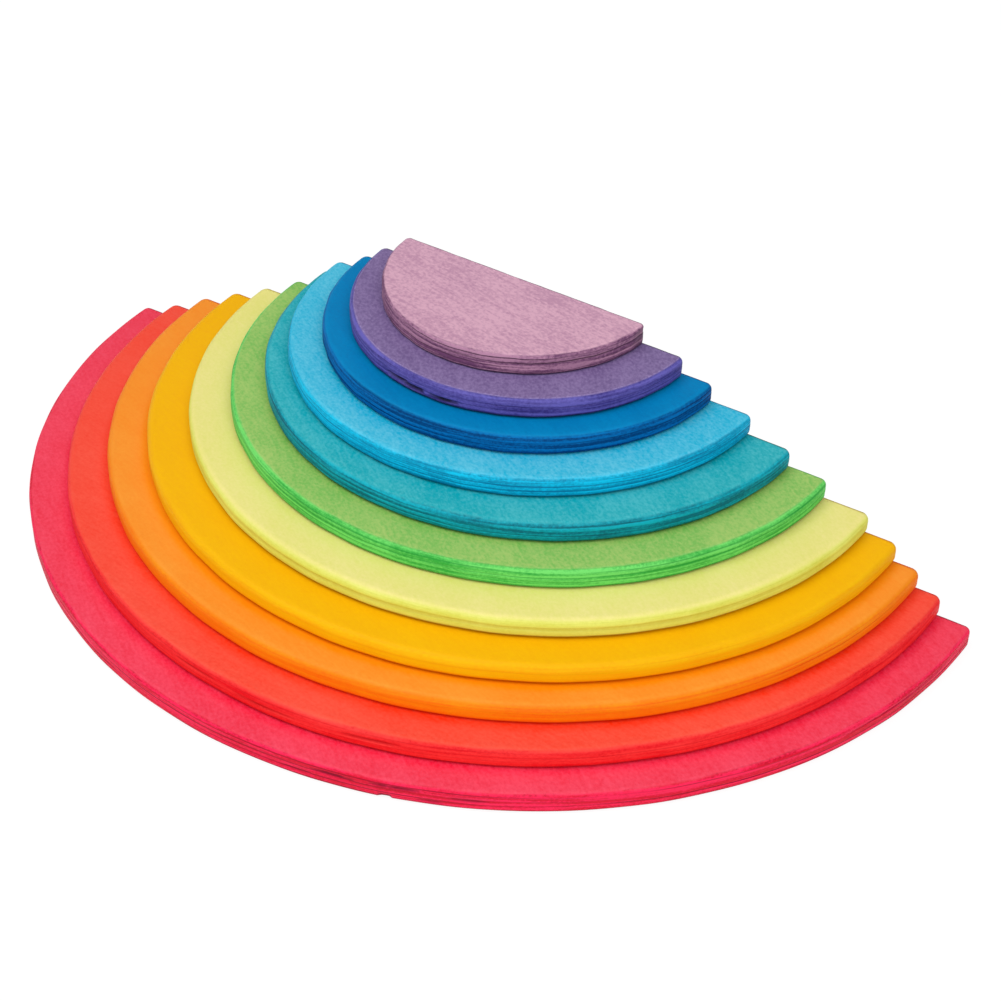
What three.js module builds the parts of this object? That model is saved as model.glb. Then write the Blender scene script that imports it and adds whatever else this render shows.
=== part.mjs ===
// Rainbow stacker: loose half-round plywood boards, each a step smaller than the board under it.
// Millimetres, +Z up. X runs along the straight sides, the arcs face -Y, and the origin lies on the
// table top under the middle of the stack.

import * as THREE from "three";

const TOP_WIDTH = 100; // straight side of the smallest board, which lies on top
const BOARD_THICKNESS = 7.7; // 8 mm plywood, sanded
const LEDGE = 13; // how far each arc is meant to stand out from the arc above it
const RIM_RADIUS = 2.2; // rounding of the upper and the lower rim, all the way round
const CORNER_EASE = 1.4; // how much wider than its rims a board's corner is rounded in plan
const REST_GAP = 0.05; // air that is left between two boards, which never lie quite flat

const CHORD_ERROR = 0.1; // how far a facet may cut inside a round outline
const RIM_FACETS = 3; // facets across the quarter round of a rim

const WOOD_ROUGHNESS = 0.62; // stained and oiled, without a film of paint

// The boards from the table upwards. They are sawn and laid by hand: spare is what a board's radius has
// over the even steps, and deep is how far behind the arc's centre its straight side is sawn. along and
// back place the centre of its arc against the bottom board's, and turn is in degrees.
const BOARDS = [
  { name: "magenta_board", stain: 0xf53953, spare: 0, deep: 0.8, along: 0, back: 0, turn: 0 },
  { name: "red_board", stain: 0xfb4b37, spare: -1.1, deep: 2.6, along: 1.9, back: -2.1, turn: 0.3 },
  { name: "orange_board", stain: 0xfc8c23, spare: 0.1, deep: 1.4, along: 4.7, back: -0.5, turn: 0 },
  { name: "amber_board", stain: 0xf6b402, spare: 0.8, deep: 2.1, along: 8, back: -1.1, turn: -0.1 },
  { name: "lime_board", stain: 0xe8e282, spare: 0.5, deep: 0.8, along: 10, back: -0.1, turn: -0.1 },
  { name: "green_board", stain: 0x8dbc62, spare: -2.4, deep: 1.3, along: 9.5, back: -0.7, turn: -0.5 },
  { name: "teal_board", stain: 0x1ea8b4, spare: -2.3, deep: 1.9, along: 8.6, back: -0.3, turn: -1.9 },
  { name: "sky_board", stain: 0x3cb4d7, spare: -1.1, deep: 0.7, along: 4.6, back: -0.5, turn: -1 },
  { name: "blue_board", stain: 0x0270af, spare: -2.2, deep: 1.1, along: 3.7, back: -2.3, turn: -1.1 },
  { name: "purple_board", stain: 0x7c6694, spare: 0.2, deep: 0, along: 3.3, back: -3.3, turn: -1.2 },
  { name: "lilac_board", stain: 0xc193ac, spare: -0.1, deep: -0.5, along: 1, back: -3.4, turn: -1.5 },
];

// Points of a round stretch of outline, anticlockwise, as many as the chord error asks for.
function arcPoints(centreX, centreY, radius, startAngle, endAngle) {
  const facetAngle = 2 * Math.acos(1 - CHORD_ERROR / radius);
  const facets = Math.ceil((endAngle - startAngle) / facetAngle);
  const arc = new THREE.EllipseCurve(centreX, centreY, radius, radius, startAngle, endAngle);
  return arc.getPoints(facets);
}

// Half disc with the centre of its arc on the origin, its arc towards -Y and its straight side on y = deep.
// Each corner is a small arc that touches both the straight side and the big arc.
function halfDisc(radius, deep, cornerRadius) {
  const cornerY = deep - cornerRadius;
  const cornerTurn = Math.asin(-cornerY / (radius - cornerRadius));
  const cornerX = (radius - cornerRadius) * Math.cos(cornerTurn);
  const rim = arcPoints(0, 0, radius, Math.PI + cornerTurn, 2 * Math.PI - cornerTurn);
  const right = arcPoints(cornerX, cornerY, cornerRadius, -cornerTurn, Math.PI / 2);
  const left = arcPoints(-cornerX, cornerY, cornerRadius, Math.PI / 2, Math.PI + cornerTurn);
  return new THREE.Shape([...rim, ...right.slice(1), ...left.slice(0, -1)]);
}

// One board, lying on z = 0. The bevels of the extrusion are its rounded rims, kept inside the outline.
// On a thin board a rim takes no more than a third of the thickness.
function boardGeometry(radius, deep) {
  const rim = Math.min(RIM_RADIUS, BOARD_THICKNESS / 3);
  const board = new THREE.ExtrudeGeometry(halfDisc(radius, deep, rim + CORNER_EASE), {
    depth: BOARD_THICKNESS - 2 * rim,
    bevelThickness: rim,
    bevelSize: rim,
    bevelOffset: -rim,
    bevelSegments: RIM_FACETS,
  });
  return board.translate(0, 0, rim);
}

function stainedWood(stain) {
  return new THREE.MeshStandardMaterial({ color: stain, roughness: WOOD_ROUGHNESS, metalness: 0 });
}

function buildStacker() {
  const stacker = new THREE.Group();
  const topLevel = BOARDS.length - 1;
  BOARDS.forEach(({ name, stain, spare, deep, along, back, turn }, level) => {
    const radius = TOP_WIDTH / 2 + (topLevel - level) * LEDGE + spare;
    const board = new THREE.Mesh(boardGeometry(radius, deep), stainedWood(stain));
    board.name = name;
    board.position.set(along, back, level * (BOARD_THICKNESS + REST_GAP));
    board.rotation.z = THREE.MathUtils.degToRad(turn);
    stacker.add(board);
  });
  const middle = new THREE.Box3().setFromObject(stacker, true).getCenter(new THREE.Vector3());
  stacker.position.set(-middle.x, -middle.y, 0);
  return stacker;
}

export default buildStacker();
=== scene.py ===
# Looks of the rainbow stacker: boards of stained plywood on a white studio floor.
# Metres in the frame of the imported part, millimetres inside the board code.

import math
from collections import namedtuple

import bpy
import numpy as np
from mathutils import Matrix, Vector


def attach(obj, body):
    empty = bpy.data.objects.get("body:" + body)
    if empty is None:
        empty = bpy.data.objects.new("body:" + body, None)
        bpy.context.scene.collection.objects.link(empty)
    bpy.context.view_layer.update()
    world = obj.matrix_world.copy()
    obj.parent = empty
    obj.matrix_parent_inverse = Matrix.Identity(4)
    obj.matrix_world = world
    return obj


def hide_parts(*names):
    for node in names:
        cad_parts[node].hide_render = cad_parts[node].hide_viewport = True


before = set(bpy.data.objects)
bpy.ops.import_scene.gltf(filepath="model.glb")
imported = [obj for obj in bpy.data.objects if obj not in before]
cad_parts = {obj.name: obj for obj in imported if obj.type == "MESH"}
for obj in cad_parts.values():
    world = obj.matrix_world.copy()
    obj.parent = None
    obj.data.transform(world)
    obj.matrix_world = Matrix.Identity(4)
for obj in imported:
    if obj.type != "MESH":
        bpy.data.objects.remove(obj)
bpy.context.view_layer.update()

MM = 0.001

# Camera of the photograph, as a pinhole: where it looks, from which side and how far away.
PHOTO_PIXELS = 1001
FOCAL_PIXELS = 2157.4
SENSOR_WIDTH = 36.0
CAMERA_TARGET = Vector((4.58, 66.66, 0.0)) * MM
CAMERA_AZIMUTH = 31.35
CAMERA_ELEVATION = 37.07
CAMERA_ROLL = 1.78
CAMERA_DISTANCE = 792.4 * MM

# Light: an even dome, and softboxes with their side and height in degrees. light is how bright a softbox
# makes a white face that is turned to it.
DOME = 0.45
Softbox = namedtuple("Softbox", "name side height light")
SOFTBOXES = (
    Softbox("left_softbox", -30, 62, 0.33),
    Softbox("right_softbox", 50, 58, 0.24),
    Softbox("front_softbox", 35, 14, 0.16),
)
SOFTBOX_SIZE = 1.2
SOFTBOX_DISTANCE = 1.8

# Floor. The camera sees it mostly as plain white, with a little of the shadow that falls on it.
FLOOR_HALF = 6.0
FLOOR_COLOUR = (0.95, 0.95, 0.95, 1)
FLOOR_ROUGHNESS = 0.9
FLOOR_WHITE = 1.06
FLOOR_WHITE_SHARE = 0.85
WHITE = (1, 1, 1, 1)

# Mesh of a board.
CORNER_EASE = 0.75  # how much wider than its rims a corner is rounded in plan
OUTLINE_STEP = 1.2  # between two points of the arc or the straight side
CORNER_STEP = 0.4  # between two points of a corner
RIM_ROWS = 7  # rows of points across a rounded rim
SIDE_ROWS = 8  # rows of points between the two rims
FACE_MARGIN = 0.6  # between a rim and the plain middle of a face
GLUE_LINES = (1.35, 3.05, 4.7, 6.4)  # heights, which part the board into plies
PLIES = len(GLUE_LINES) + 1
GLUE_HALF = 0.16  # half the width of the groove at a glue line
GROOVE_DEPTH = 0.1
GROOVE_SHARES = (0.1, 0.6, 1.2)  # least, middle and most of that depth along a groove
GROOVE_WAVE = 0.5  # how far it wavers about the middle
GLUE_WAVE = 0.14  # how far a glue line waves up and down
PLY_PROUD = 0.05  # how far a ply stands out from its neighbours, or behind them
OUTLINE_WOBBLE = 0.12  # how far the saw has strayed
FAULT_WAVE = 0.4  # how ragged a fault is along its length
FAULT_FILL = 1.3  # above 1, so that a fault keeps its full depth over most of its height

# Whole numbers of waves round an outline, for what wavers along it.
GLUE_CYCLES = (2, 5, 9, 14)
OUTLINE_CYCLES = (3, 7, 12, 19, 31)
PLY_CYCLES = (4, 11, 23, 41)
GROOVE_CYCLES = (6, 13, 29)
FAULT_CYCLES = (97, 151, 211)

# Painted shade along the lower rim, where a board meets the one below, and in the hollows of faults, with
# the dark lines of faults and a darker band along the upper rim of the straight side. A band starts, is
# full, stops being full and ends at these shares of the way from the upright edge to the face.
FAULT_SHADE_AND_DARK = 1.8  # painted shade in a fault's hollow, with its dark line, for each millimetre of its depth
FOOT_SHADE_DARKNESS = 0.92  # painted shade along the lower rim, where the board meets the one below
FOOT_SHADE_BAND = (0.3, 0.62, 0.85, 1.0)
SAWN_DARK = 0.9  # along the upper rim of the straight side
SAWN_BAND = (0.2, 0.7, 0.95, 1.0)
BAND_SHARES = (0, 1, 1, 0)

# Painted shade on the face under the board above and close to it, where that board keeps the light off it:
# the stain is made more saturated there.
COVER_SHADE_SATURATION = 1.03  # saturation of the painted shade
COVER_SHADE_REACH = 4.0  # how far outside that board the painted shade fades to the plain stain

# Noises of the wood, with waves for each millimetre along the fibres, across them and through the plies.
Noise = namedtuple("Noise", "waves detail roughness")
STREAKS = Noise((0.09, 0.7, 0.7), 3.0, 0.6)
FLECKS = Noise((0.75, 1.0, 1.0), 2.0, 0.6)
CLOUDS = Noise((0.03, 0.06, 0.06), 3.0, 0.55)
DRAWN = Noise((0.02, 0.02, 1.1), 3.0, 0.55)  # fine lines along an edge
TORN = Noise((0.07, 0.07, 0.8), 4.0, 0.6)  # torn fibres along an edge
GRIT = Noise((0.8, 0.8, 1.4), 2.0, 0.7)  # grain of a sanded edge
FAINT = Noise((0.012, 0.012, 0.6), 3.0, 0.5)  # where a glue line can hardly be seen
NOISE_MIDDLE = 0.5
SEED_STEP = Vector((17.0, 31.0, 47.0))  # between the places in the noises of two boards next to each other

# Contrast of a figure, for each unit of its Look value. The edge has some of its own besides.
STREAK_CONTRAST = 5.0
CLOUD_CONTRAST = 2.5
END_GRAIN_CONTRAST = 0.5
DRAWN_CONTRAST = 4.0
DRAWN_LEAST = 0.6
GRIT_CONTRAST = 1.6
GRIT_LEAST = 0.5
TORN_CONTRAST = 3.0

# Glue lines: how far off a line, in plies, its colour starts to fade and is gone, and the values of FAINT
# between which it comes into sight.
LINE_FADE = (0.03, 0.2)
LINE_SEEN = (0.36, 0.58)

# Change from the face's stain to the edge's, round a rim, with a pale line that is partly worn stain and
# partly a painted highlight. A pair with a noise's name holds the values of that noise between which the
# pale line or the specks come into sight.
RIM_TORN = 1.6  # how far torn fibres move the change, for each unit of ragged
RIM_GRIT = 0.15  # how far grit moves it
RIM_SOFT = 0.32  # half its width on an unworn rim
RIM_WORN_SOFT = 0.22  # how much of that is lost, for each unit of wear
RUBBED_HIGHLIGHT_PLACE = -0.1  # middle of the pale worn line with its painted highlight, from the middle of the change
RUBBED_HIGHLIGHT_WIDTH = 0.16
RUBBED_HIGHLIGHT_GRIT = (0.35, 0.6)
SPECK_PLACE = 0.3
SPECK_WIDTH = 0.5
SPECK_GRIT = (0.42, 0.64)
SPECK_TORN = (0.48, 0.6)
SPECK_DARK = 0.8  # for each unit of ragged

# Relief and sheen of the fibres. Their roughness falls from pale to deep ones.
FIBRE_BUMP = 0.3
FIBRE_HEIGHT = 0.1
FIBRE_RANGE = (0.3, 0.7)
PALE_ROUGHNESS = 0.62
DEEP_ROUGHNESS = 0.5

# Reading a board's solid: the most that an upright face's normal leans, and how far before the straight side
# the corners are surely over.
UPRIGHT_LEAN = 0.1
CORNER_CLEAR = 10.0

# A board's stain in plain light, in sRGB: pale and deep on the face and on the edge, then on glue lines,
# then the colour of the painted shade along the lower rim and in faults, which also darkens the lines of
# faults and the straight side's upper rim, then the pale worn line of the rim, which is also a painted
# highlight. Then its wood. grain is the direction of the face's fibres against the straight side, in
# degrees. streak, cloud and lines are contrasts, of the face's fibres, of clouds in the stain and of the
# edge's lines. speckle is the share of flecks in the fibres. ragged is how torn the edge is, wear how worn
# the rim is and how strong its painted highlight is, and gloss how strongly the face shines. rim is a radius
# in millimetres, and turnover is where the stain changes round the rim, from 0 on the face to 1 on the edge.
Look = namedtuple(
    "Look",
    "face_pale face_deep edge_pale edge_deep glue gap rubbed "
    "grain streak speckle cloud lines ragged wear gloss rim turnover",
)
LOOKS = {
    "magenta": Look(
        "fc4f69", "f1314b", "fe2055", "dc042c", "a00026", "8c0028", "ff6c84",
        grain=-35, streak=0.5, speckle=0.65, cloud=0.4, lines=1.0,
        ragged=0.5, wear=0.1, gloss=0.2, rim=1.8, turnover=0.5,
    ),
    "red": Look(
        "fe5b46", "fb442e", "ff3c3a", "ee0818", "be000e", "c00008", "ff6a56",
        grain=-8, streak=0.45, speckle=0.65, cloud=0.4, lines=0.32,
        ragged=0.3, wear=0.1, gloss=0.2, rim=2.2, turnover=0.58,
    ),
    "orange": Look(
        "fea135", "fc8c1b", "f99401", "f96d00", "e04c00", "d84000", "ffa850",
        grain=-20, streak=0.3, speckle=0.6, cloud=0.4, lines=0.2,
        ragged=0.1, wear=0.05, gloss=0.15, rim=2.5, turnover=0.52,
    ),
    "amber": Look(
        "fcbe01", "f8b200", "f7be00", "f7a800", "dc8400", "d07000", "ffc82c",
        grain=-20, streak=0.4, speckle=0.6, cloud=0.4, lines=0.22,
        ragged=0.1, wear=0.1, gloss=0.1, rim=2.6, turnover=0.5,
    ),
    "lime": Look(
        "f6ea94", "ece57c", "eef378", "d6d748", "b4a024", "ae8c0c", "f6ee9c",
        grain=-32, streak=0.4, speckle=0.75, cloud=0.5, lines=0.1,
        ragged=0.05, wear=0.05, gloss=0.2, rim=2.5, turnover=0.68,
    ),
    "green": Look(
        "a9ce6f", "80c15b", "73df6b", "36ad41", "1c8c34", "2c8c34", "9ae88e",
        grain=-35, streak=0.65, speckle=0.7, cloud=0.6, lines=0.62,
        ragged=0.25, wear=0.3, gloss=0.2, rim=1.9, turnover=0.35,
    ),
    "teal": Look(
        "4cbec7", "0ca8b5", "04b0c4", "007082", "00545e", "005c50", "6ac8d0",
        grain=-35, streak=0.6, speckle=0.65, cloud=0.5, lines=0.6,
        ragged=0.15, wear=0.1, gloss=0.15, rim=2.4, turnover=0.5,
    ),
    "sky": Look(
        "60cae7", "21b6db", "03c6ef", "008bb3", "006694", "006a90", "7ad6f2",
        grain=-32, streak=0.65, speckle=0.7, cloud=0.5, lines=0.75,
        ragged=0.15, wear=0.2, gloss=0.15, rim=2.2, turnover=0.55,
    ),
    "blue": Look(
        "018bc6", "0079b6", "016eb5", "00427a", "002858", "003470", "2296d4",
        grain=-30, streak=0.35, speckle=0.6, cloud=0.4, lines=0.9,
        ragged=0.1, wear=0.25, gloss=0.06, rim=2.2, turnover=0.6,
    ),
    "purple": Look(
        "8e79aa", "725d8f", "6760b7", "39307d", "201850", "060410", "a394cc",
        grain=-50, streak=0.6, speckle=0.9, cloud=0.4, lines=0.5,
        ragged=0.1, wear=0.65, gloss=0.2, rim=2.0, turnover=0.4,
    ),
    "lilac": Look(
        "ddacc1", "c190ab", "b584a1", "70446a", "3c1e36", "240c24", "e4bcd2",
        grain=-12, streak=1.0, speckle=0.62, cloud=0.6, lines=0.9,
        ragged=0.3, wear=0.2, gloss=0.2, rim=1.3, turnover=0.45,
    ),
}
SEEDS = {colour: seed for seed, colour in enumerate(LOOKS, start=11)}

# Faults in an edge: where round the arc, in degrees, how long, between which heights and how deep.
Fault = namedtuple("Fault", "angle length low high depth")
FAULTS = {
    "magenta": (
        Fault(288.5, 4.5, -0.5, 2.4, 1.3),
        Fault(279.0, 11.0, 2.4, 3.4, 0.4),
        Fault(283.0, 15.0, 4.3, 5.8, 0.5),
        Fault(289.5, 17.0, 4.8, 6.3, 0.5),
        Fault(293.0, 9.0, 1.6, 2.7, 0.35),
        Fault(297.0, 13.0, 3.6, 4.8, 0.45),
        Fault(347.0, 62.0, 4.9, 5.8, 0.3),
    ),
    "red": (
        Fault(262.0, 18.0, 4.4, 5.4, 0.35),
        Fault(272.0, 24.0, 3.4, 4.5, 0.4),
        Fault(285.0, 20.0, 3.9, 5.0, 0.4),
    ),
    "orange": (
        Fault(343.0, 70.0, 4.4, 5.2, 0.2),
    ),
    "lime": (
        Fault(285.0, 330.0, 3.3, 4.9, 0.15),
    ),
    "purple": (
        Fault(258.3, 10.0, 2.2, 3.7, 1.6),
        Fault(264.6, 9.0, 1.6, 3.5, 2.0),
        Fault(276.0, 12.0, 1.8, 3.2, 0.6),
    ),
    "lilac": (
        Fault(356.0, 9.0, 0.4, 7.3, 0.2),
        Fault(318.0, 34.0, 4.2, 5.0, 0.2),
    ),
}

# A board's place and size: the centre of its arc on its underside with its turn, and in millimetres its
# radius, how far behind that centre its straight side lies, and its thickness.
Place = namedtuple("Place", "matrix radius deep thickness")

# The board above, in the frame of the board that it lies on, in metres.
Cover = namedtuple("Cover", "centre radius")

# Outline of a board in plan, with the distance of each point along it.
Outline = namedtuple("Outline", "points normals distance length")

# Sockets of the noises that make a board's wood.
Wood = namedtuple("Wood", "place fibres cloudy torn grit")


def linear(colour):
    """A six-digit sRGB colour as the linear RGBA that a shader socket takes."""
    parts = [int(colour[i:i + 2], 16) / 255 for i in (0, 2, 4)]
    return [p / 12.92 if p <= 0.04045 else ((p + 0.055) / 1.055) ** 2.4 for p in parts] + [1.0]


class Graph:
    """Adds nodes to one material. A value handed to a node is a number, a vector or another node's
    socket."""

    def __init__(self, material):
        material.use_nodes = True
        self.tree = material.node_tree
        self.shader = self.tree.nodes["Principled BSDF"]

    def put(self, socket, value):
        if isinstance(value, bpy.types.NodeSocket):
            self.tree.links.new(value, socket)
        else:
            socket.default_value = value

    def node(self, kind, inputs=(), **settings):
        made = self.tree.nodes.new("ShaderNode" + kind)
        for name, value in settings.items():
            setattr(made, name, value)
        for key, value in dict(inputs).items():
            self.put(made.inputs[key], value)
        return made

    def attribute(self, name):
        return self.node("Attribute", attribute_name=name).outputs["Fac"]

    def math(self, operation, a, b=0.0, clamp=False):
        return self.node("Math", {0: a, 1: b}, operation=operation, use_clamp=clamp).outputs[0]

    def add(self, *values):
        total = values[0]
        for value in values[1:]:
            total = self.math("ADD", total, value)
        return total

    def times(self, a, b):
        return self.math("MULTIPLY", a, b)

    def share(self, *values):
        """One half and the values, kept between 0 and 1."""
        return self.math("ADD", self.add(*values), 0.5, clamp=True)

    def dot(self, a, b):
        return self.node("VectorMath", {0: a, 1: b}, operation="DOT_PRODUCT").outputs["Value"]

    def about(self, value, scale, middle=NOISE_MIDDLE):
        """How far the value is over its middle, scaled."""
        made = self.node("Math", {0: value, 1: scale, 2: -middle * scale}, operation="MULTIPLY_ADD")
        return made.outputs[0]

    def near(self, value, middle, width):
        """1 where the value is at the middle, falling to 0 a width away on both sides."""
        away = self.math("ABSOLUTE", self.about(value, 1 / width, middle))
        return self.math("SUBTRACT", 1.0, away, clamp=True)

    def noise(self, place, noise):
        waves = self.node("Mapping", {"Vector": place, "Scale": noise.waves}).outputs["Vector"]
        inputs = {"Vector": waves, "Scale": 1.0, "Detail": noise.detail, "Roughness": noise.roughness}
        return self.node("TexNoise", inputs).outputs[0]

    def ramp(self, value, low, high, to_low=0.0, to_high=1.0):
        inputs = {0: value, 1: low, 2: high, 3: to_low, 4: to_high}
        return self.node("MapRange", inputs, interpolation_type="SMOOTHSTEP").outputs[0]

    def blend(self, share, a, b):
        return self.node("Mix", {0: share, 2: a, 3: b}).outputs[0]

    def colours(self, share, a, b):
        return self.node("Mix", {0: share, 6: a, 7: b}, data_type="RGBA").outputs[2]


def board_wood(g, colour, look, here):
    """The noises of a board's wood, along its grain. Every board is cut from another place in them."""
    turn = math.radians(look.grain)
    inputs = {
        "Vector": here,
        "Location": SEED_STEP * SEEDS[colour],
        "Rotation": (0, 0, -turn),
        "Scale": (1 / MM,) * 3,
    }
    place = g.node("Mapping", inputs).outputs["Vector"]
    fibres = g.blend(look.speckle, g.noise(place, STREAKS), g.noise(place, FLECKS))
    cloudy = g.about(g.noise(place, CLOUDS), CLOUD_CONTRAST * look.cloud)
    return Wood(place, fibres, cloudy, g.noise(place, TORN), g.noise(place, GRIT))


def face_stain(g, look, wood):
    figure = g.about(wood.fibres, STREAK_CONTRAST * look.streak)
    return g.colours(g.share(figure, wood.cloudy), linear(look.face_pale), linear(look.face_deep))


def covered_painted_shade(g, face, here, cover):
    """The face's stain with painted shade: more saturated under the board above and close to it."""
    away = g.node("VectorMath", {0: here, 1: cover.centre}, operation="DISTANCE").outputs["Value"]
    # deep is the saturation of the painted shade.
    deep = g.ramp(away, cover.radius, cover.radius + COVER_SHADE_REACH * MM, COVER_SHADE_SATURATION, 1.0)
    return g.node("HueSaturation", {"Color": face, "Saturation": deep}).outputs[0]


def end_grain(g, look, normal):
    """How far the fibres of a ply end at this place of the edge. They run along the grain in every other
    ply and across it in the rest."""
    turn = math.radians(look.grain)
    along = Vector((math.cos(turn), math.sin(turn), 0.0))
    across = Vector((-math.sin(turn), math.cos(turn), 0.0))
    crossed = g.math("MODULO", g.math("FLOOR", g.attribute("ply")), 2.0)
    end_long = g.math("POWER", g.dot(normal, along), 2.0)
    end_cross = g.math("POWER", g.dot(normal, across), 2.0)
    return g.blend(crossed, end_long, end_cross)


def edge_stain(g, look, wood, normal):
    drawn = g.about(g.noise(wood.place, DRAWN), DRAWN_LEAST + DRAWN_CONTRAST * look.lines)
    grit = g.about(wood.grit, GRIT_LEAST + GRIT_CONTRAST * look.lines)
    torn = g.about(wood.torn, TORN_CONTRAST * look.ragged)
    ends = g.about(end_grain(g, look, normal), END_GRAIN_CONTRAST * look.lines)
    share = g.share(drawn, grit, torn, ends, wood.cloudy)
    return g.colours(share, linear(look.edge_pale), linear(look.edge_deep))


def glue_stain(g, look, wood, edge):
    """The edge's stain with its glue lines, which fade out in places."""
    off_line = g.math("PINGPONG", g.attribute("ply"), 0.5)
    seen = g.ramp(g.noise(wood.place, FAINT), *LINE_SEEN)
    line = g.times(g.ramp(off_line, *LINE_FADE, 1.0, 0.0), seen)
    return g.colours(g.times(line, look.lines), edge, linear(look.glue))


def rim_stain(g, look, wood, face, edge):
    """The face's stain turning into the edge's round the rim, with a pale line, partly worn stain and partly
    a painted highlight, and dark specks.
    """
    torn = g.about(wood.torn, RIM_TORN * look.ragged)
    grit = g.about(wood.grit, RIM_GRIT)
    way = g.add(torn, grit, g.attribute("edge"))
    soft = RIM_SOFT - RIM_WORN_SOFT * look.wear
    stain = g.colours(g.ramp(way, look.turnover - soft, look.turnover + soft), face, edge)

    # Pale line round the rim: worn stain and a painted highlight.
    rubbed = g.times(g.near(way, look.turnover + RUBBED_HIGHLIGHT_PLACE, RUBBED_HIGHLIGHT_WIDTH), look.wear)
    rubbed = g.times(rubbed, g.ramp(wood.grit, *RUBBED_HIGHLIGHT_GRIT))
    stain = g.colours(rubbed, stain, linear(look.rubbed))

    specks = g.times(g.ramp(wood.grit, *SPECK_GRIT), g.ramp(wood.torn, *SPECK_TORN))
    specks = g.times(specks, g.near(way, look.turnover + SPECK_PLACE, SPECK_WIDTH))
    return g.colours(g.times(specks, SPECK_DARK * look.ragged), stain, linear(look.glue))


def stained_plywood(colour, look, cover):
    """Plywood whose face veneer and cut edge take up the stain differently."""
    material = bpy.data.materials.new(colour + "_stain")
    g = Graph(material)
    here = g.node("TexCoord").outputs
    wood = board_wood(g, colour, look, here["Object"])
    face = face_stain(g, look, wood)
    # Painted shade from the board above.
    if cover:
        face = covered_painted_shade(g, face, here["Object"], cover)
    edge = glue_stain(g, look, wood, edge_stain(g, look, wood, here["Normal"]))
    stain = rim_stain(g, look, wood, face, edge)
    # Painted shade along the lower rim and in the hollows of faults, with the dark lines of faults and the
    # darker band along the straight side's upper rim.
    stain = g.colours(g.attribute("painted_shade_and_dark"), stain, linear(look.gap))
    g.put(g.shader.inputs["Base Color"], stain)

    bump = {"Height": wood.fibres, "Strength": FIBRE_BUMP, "Distance": FIBRE_HEIGHT * MM}
    g.put(g.shader.inputs["Normal"], g.node("Bump", bump).outputs[0])
    roughness = g.ramp(wood.fibres, *FIBRE_RANGE, PALE_ROUGHNESS, DEEP_ROUGHNESS)
    g.put(g.shader.inputs["Roughness"], roughness)
    g.shader.inputs["Specular IOR Level"].default_value = look.gloss
    return material


def half_disc(radius, deep, corner):
    """A board's outline, anticlockwise: an arc round the origin, two rounded corners and the straight side
    on y = deep."""
    turn = math.asin((corner - deep) / (radius - corner))
    corner_x = (radius - corner) * math.cos(turn)
    points, normals = [], []

    def arc(x, y, size, start, end, step):
        count = math.ceil(size * (end - start) / step)
        angles = start + (end - start) * np.arange(count) / count
        normals.append(np.stack([np.cos(angles), np.sin(angles)], 1))
        points.append(normals[-1] * size + (x, y))

    arc(0, 0, radius, math.pi + turn, 2 * math.pi - turn, OUTLINE_STEP)
    arc(corner_x, deep - corner, corner, -turn, math.pi / 2, CORNER_STEP)
    count = math.ceil(2 * corner_x / OUTLINE_STEP)
    straight_x = corner_x * (1 - 2 * np.arange(count) / count)
    points.append(np.stack([straight_x, np.full(count, deep)], 1))
    normals.append(np.tile((0.0, 1.0), (count, 1)))
    arc(-corner_x, deep - corner, corner, math.pi / 2, math.pi + turn, CORNER_STEP)

    points = np.concatenate(points)
    steps = np.linalg.norm(np.roll(points, -1, 0) - points, axis=1)
    distance = np.concatenate([[0], np.cumsum(steps)[:-1]])
    return Outline(points, np.concatenate(normals), distance, steps.sum())


def ripple(outline, cycles, height, rng):
    """A smooth wave round a closed outline: sines of several whole numbers of cycles."""
    wave = np.zeros_like(outline.distance)
    for count in cycles:
        wave += np.sin(2 * np.pi * count * outline.distance / outline.length + rng.uniform(0, 2 * np.pi))
    return height * wave / math.sqrt(len(cycles))


def row_heights(thickness, rim):
    """Heights of the mesh rows from the lower face to the upper one, with three at each glue line."""
    quarter = rim * (1 - np.cos(np.linspace(0, np.pi / 2, RIM_ROWS)))
    side = np.linspace(rim, thickness - rim, SIDE_ROWS)[1:-1]
    even = [*quarter, *side, *(thickness - quarter)]
    clear = [z for z in even if min(abs(z - line) for line in GLUE_LINES) > 2 * GLUE_HALF]
    lines = [line + k * GLUE_HALF for line in GLUE_LINES for k in (-1, 0, 1)]
    return np.array(sorted([*clear, *lines]))


def waved_heights(heights, ply, outline, rng):
    """The rows' heights round the outline: every glue line waves a little and the two faces are flat."""
    waves = [ripple(outline, GLUE_CYCLES, GLUE_WAVE, rng) for _ in GLUE_LINES]
    flat = np.zeros_like(outline.distance)
    waves = np.stack([flat, *waves, flat])
    weights = np.stack([np.interp(ply, range(len(waves)), column) for column in np.eye(len(waves))])
    return heights[:, None] + weights.T @ waves


def edge_relief(ply, outline, lines, rng):
    """How far each row stands out round the outline: plies a little proud of their neighbours or behind
    them, a fine groove at each glue line, and the straying of the saw."""
    wobble = ripple(outline, OUTLINE_CYCLES, OUTLINE_WOBBLE, rng)
    proud = np.stack([
        ripple(outline, PLY_CYCLES, PLY_PROUD, rng) + rng.uniform(-1, 1) * PLY_PROUD
        for _ in range(PLIES)
    ])
    least, middle, most = GROOVE_SHARES
    groove = GROOVE_DEPTH * (middle + ripple(outline, GROOVE_CYCLES, GROOVE_WAVE, rng)).clip(least, most)
    on_line = np.isclose(ply, np.round(ply)) & (ply > 0.5) & (ply < PLIES - 0.5)
    which = np.clip(np.floor(ply - 1e-6).astype(int), 0, PLIES - 1)
    return np.where(on_line[:, None], -groove, proud[which]) * lines + wobble


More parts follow.
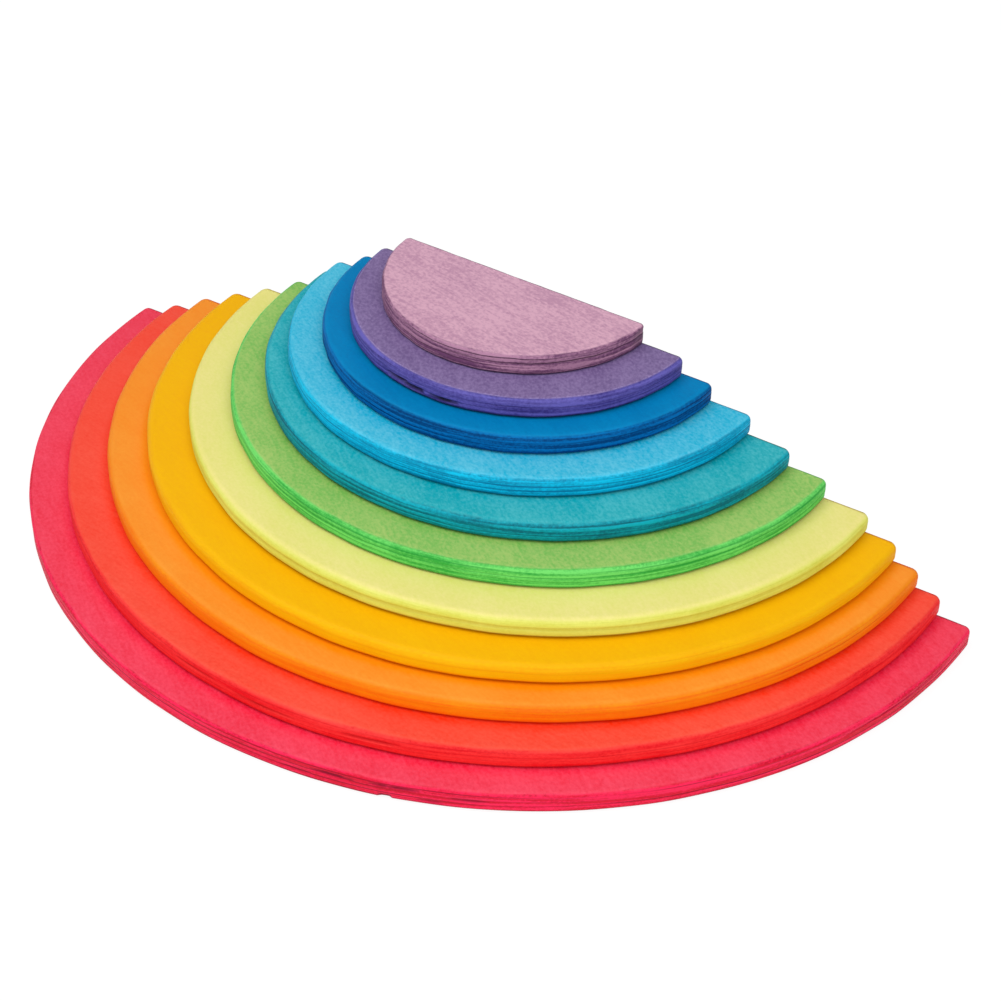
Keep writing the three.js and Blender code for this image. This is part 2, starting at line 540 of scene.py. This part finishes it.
def rim_shade_and_dark(low, high, normals):
    """How dark a point is painted: painted shade along the lower rim, where the board meets the one below,
    and a darker band along the upper rim of the straight side. low and high are the ways down and up the
    rims, from 0 on the upright edge to 1 on the face."""
    foot_shade = FOOT_SHADE_DARKNESS * np.interp(low, FOOT_SHADE_BAND, BAND_SHARES)
    sawn = SAWN_DARK * np.interp(high, SAWN_BAND, BAND_SHARES)
    straight = np.clip(normals[:, 1], 0, 1) ** 4
    return np.maximum(foot_shade, sawn * straight)


def fault_share(fault, z, outline, radius, rng):
    """1 inside a fault and 0 outside it, tapered towards its ends."""
    bearing = np.degrees(np.arctan2(outline.points[:, 1], outline.points[:, 0])) % 360
    away = np.radians(bearing - fault.angle) * radius / (fault.length / 2)
    ragged = np.clip(1 + ripple(outline, FAULT_CYCLES, FAULT_WAVE, rng), 0, 1)
    reach = np.clip(1 - away ** 2, 0, 1) * ragged
    height = (z - (fault.low + fault.high) / 2) / ((fault.high - fault.low) / 2)
    return np.clip(FAULT_FILL * (1 - height ** 4), 0, 1) * np.sqrt(reach)


def board_mesh(colour, look, place):
    """One board in its own frame: the outline swept through a profile with rounded rims."""
    rng = np.random.default_rng(SEEDS[colour])
    outline = half_disc(place.radius, place.deep, look.rim + CORNER_EASE)
    heights = row_heights(place.thickness, look.rim)
    ply = np.interp(heights, [0, *GLUE_LINES, place.thickness], range(PLIES + 1))
    z = waved_heights(heights, ply, outline, rng)
    low = np.clip(look.rim - z, 0, look.rim) / look.rim
    high = np.clip(z - (place.thickness - look.rim), 0, look.rim) / look.rim
    edge = np.sqrt(np.clip(1 - np.maximum(low, high) ** 2, 0, 1))
    out = edge_relief(ply, outline, look.lines, rng) * edge - look.rim * (1 - edge)
    # Painted shade along the lower rim, and a darker band along the straight side's upper rim.
    painted_shade_and_dark = rim_shade_and_dark(low, high, outline.normals)
    for fault in FAULTS.get(colour, ()):
        inside = fault_share(fault, z, outline, place.radius, rng)
        out -= fault.depth * inside * edge
        # Painted shade in the fault's hollow, with its dark line.
        painted_shade_and_dark = np.maximum(painted_shade_and_dark, inside * min(1.0, FAULT_SHADE_AND_DARK * fault.depth))

    flat = outline.points - (look.rim + FACE_MARGIN) * outline.normals
    rings = outline.points + out[..., None] * outline.normals
    rings = np.concatenate([flat[None], rings, flat[None]])
    lid = np.zeros((1, len(flat)))
    z = np.concatenate([lid, z, lid + place.thickness])
    ply = np.concatenate([[0.5], ply, [PLIES - 0.5]])
    marks = {
        "ply": np.repeat(ply[:, None], len(flat), 1),
        "edge": np.concatenate([lid, edge, lid]),
        "painted_shade_and_dark": np.concatenate([lid, painted_shade_and_dark, lid]),
    }
    return swept_mesh(colour + "_board", np.dstack([rings, z]) * MM, marks)


def swept_mesh(name, rows, marks):
    """Closed mesh of rows of points, each row once round, with a flat lid on the first and the last row.
    marks are values of the points, by name."""
    count, around = rows.shape[:2]
    here = np.arange(around)
    there = np.roll(here, -1)
    faces = []
    for row in range(count - 1):
        low, high = row * around, (row + 1) * around
        faces += np.stack([low + here, low + there, high + there, high + here], 1).tolist()
    faces.append(here[::-1].tolist())
    faces.append(((count - 1) * around + here).tolist())
    mesh = bpy.data.meshes.new(name)
    mesh.from_pydata(rows.reshape(-1, 3).tolist(), [], faces)
    mesh.shade_smooth()
    for key, values in marks.items():
        mark = mesh.attributes.new(key, "FLOAT", "POINT")
        mark.data.foreach_set("value", values.ravel().astype(np.float32))
    return mesh


def board_place(node):
    """A board's place and size, read from its solid."""
    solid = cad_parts[node].data
    upright = [face for face in solid.polygons if abs(face.normal.z) < UPRIGHT_LEAN]
    back = Vector(max(upright, key=lambda face: face.area).normal[:2]).normalized()
    corners = np.array([vertex.co for vertex in solid.vertices])
    bottom, top = corners[:, 2].min(), corners[:, 2].max()
    straight = (corners[:, :2] @ back).max()
    side = corners[np.abs(corners[:, 2] - (bottom + top) / 2) < (top - bottom) / 4][:, :2]
    arc = side[side @ back < straight - CORNER_CLEAR * MM]
    terms = np.column_stack([2 * arc, np.ones(len(arc))])
    circle = np.linalg.lstsq(terms, (arc ** 2).sum(1), rcond=None)[0]
    centre = circle[:2]
    radius = math.sqrt(circle[2] + centre @ centre)
    turn = math.atan2(-back.x, back.y)
    matrix = Matrix.Translation((*centre, bottom)) @ Matrix.Rotation(turn, 4, "Z")
    return Place(matrix, radius / MM, (straight - centre @ back) / MM, (top - bottom) / MM)


def board_cover(place, above):
    """The board above as a circle on this board's upper face."""
    centre = place.matrix.inverted() @ above.matrix.translation
    centre.z = place.thickness * MM
    return Cover(centre, above.radius * MM)


def make_board(colour, place, cover):
    look = LOOKS[colour]
    node = colour + "_board"
    board = bpy.data.objects.new(colour + "_plywood", board_mesh(colour, look, place))
    bpy.context.scene.collection.objects.link(board)
    board.matrix_world = place.matrix
    board.data.materials.append(stained_plywood(colour, look, cover))
    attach(board, colour)
    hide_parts(node)


def make_stack():
    places = {colour: board_place(colour + "_board") for colour in LOOKS}
    upwards = list(LOOKS)
    for below, above in zip(upwards, upwards[1:]):
        make_board(below, places[below], board_cover(places[below], places[above]))
    make_board(upwards[-1], places[upwards[-1]], None)


def facing(azimuth, elevation):
    """Direction from the part towards a side: azimuth turns from the front towards +X."""
    level = math.cos(elevation)
    return Vector((math.sin(azimuth) * level, -math.cos(azimuth) * level, math.sin(elevation)))


def make_camera():
    azimuth, elevation, roll = map(math.radians, (CAMERA_AZIMUTH, CAMERA_ELEVATION, CAMERA_ROLL))
    back = facing(azimuth, elevation)
    level = Vector((math.cos(azimuth), math.sin(azimuth), 0.0))
    upright = back.cross(level)
    right = level * math.cos(roll) + upright * math.sin(roll)
    up = upright * math.cos(roll) - level * math.sin(roll)
    lens = bpy.data.cameras.new("photo_camera")
    lens.sensor_width = SENSOR_WIDTH
    lens.lens = SENSOR_WIDTH * FOCAL_PIXELS / PHOTO_PIXELS
    camera = bpy.data.objects.new("photo_camera", lens)
    turned = Matrix((right, up, back)).transposed().to_4x4()
    camera.matrix_world = Matrix.Translation(CAMERA_TARGET + back * CAMERA_DISTANCE) @ turned
    bpy.context.scene.collection.objects.link(camera)
    bpy.context.scene.camera = camera


def white_floor():
    """Pale floor that looks white to the camera, in a reflection and through a clear piece."""
    material = bpy.data.materials.new("floor")
    g = Graph(material)
    g.shader.inputs["Base Color"].default_value = FLOOR_COLOUR
    g.shader.inputs["Roughness"].default_value = FLOOR_ROUGHNESS
    g.shader.inputs["Specular IOR Level"].default_value = 0.0
    path = g.node("LightPath").outputs
    mirrored = g.math("MAXIMUM", path["Is Glossy Ray"], path["Is Transmission Ray"])
    seen = g.math("MAXIMUM", path["Is Camera Ray"], mirrored)
    white = g.node("Emission", {"Color": WHITE, "Strength": FLOOR_WHITE})
    inputs = {0: g.times(seen, FLOOR_WHITE_SHARE), 1: g.shader.outputs[0], 2: white.outputs[0]}
    both = g.node("MixShader", inputs)
    g.put(g.tree.nodes["Material Output"].inputs["Surface"], both.outputs[0])
    return material


def make_floor():
    half = FLOOR_HALF
    mesh = bpy.data.meshes.new("floor")
    corners = [(-half, -half, 0), (half, -half, 0), (half, half, 0), (-half, half, 0)]
    mesh.from_pydata(corners, [], [(0, 1, 2, 3)])
    floor = bpy.data.objects.new("floor", mesh)
    bpy.context.scene.collection.objects.link(floor)
    floor.data.materials.append(white_floor())


def make_dome():
    """An even dome of light, which looks white to the camera."""
    world = bpy.data.worlds.new("studio")
    bpy.context.scene.world = world
    world.use_nodes = True
    tree = world.node_tree
    dome = tree.nodes["Background"]
    dome.inputs["Color"].default_value = WHITE
    dome.inputs["Strength"].default_value = DOME
    white = tree.nodes.new("ShaderNodeBackground")
    white.inputs["Color"].default_value = WHITE
    path = tree.nodes.new("ShaderNodeLightPath")
    mix = tree.nodes.new("ShaderNodeMixShader")
    tree.links.new(path.outputs["Is Camera Ray"], mix.inputs[0])
    tree.links.new(dome.outputs[0], mix.inputs[1])
    tree.links.new(white.outputs[0], mix.inputs[2])
    tree.links.new(mix.outputs[0], tree.nodes["World Output"].inputs["Surface"])


def make_softbox(name, side, height, light):
    lamp = bpy.data.lights.new(name, "AREA")
    lamp.shape = "DISK"
    lamp.size = SOFTBOX_SIZE
    lamp.energy = light * math.pi * math.pi * SOFTBOX_DISTANCE ** 2
    box = bpy.data.objects.new(name, lamp)
    way = facing(math.radians(side), math.radians(height))
    box.location = CAMERA_TARGET + way * SOFTBOX_DISTANCE
    box.rotation_mode = "QUATERNION"
    box.rotation_quaternion = way.to_track_quat("Z", "Y")
    bpy.context.scene.collection.objects.link(box)


make_stack()
make_camera()
make_floor()
bpy.context.scene.view_settings.view_transform = "Standard"
make_dome()
for softbox in SOFTBOXES:
    make_softbox(*softbox)
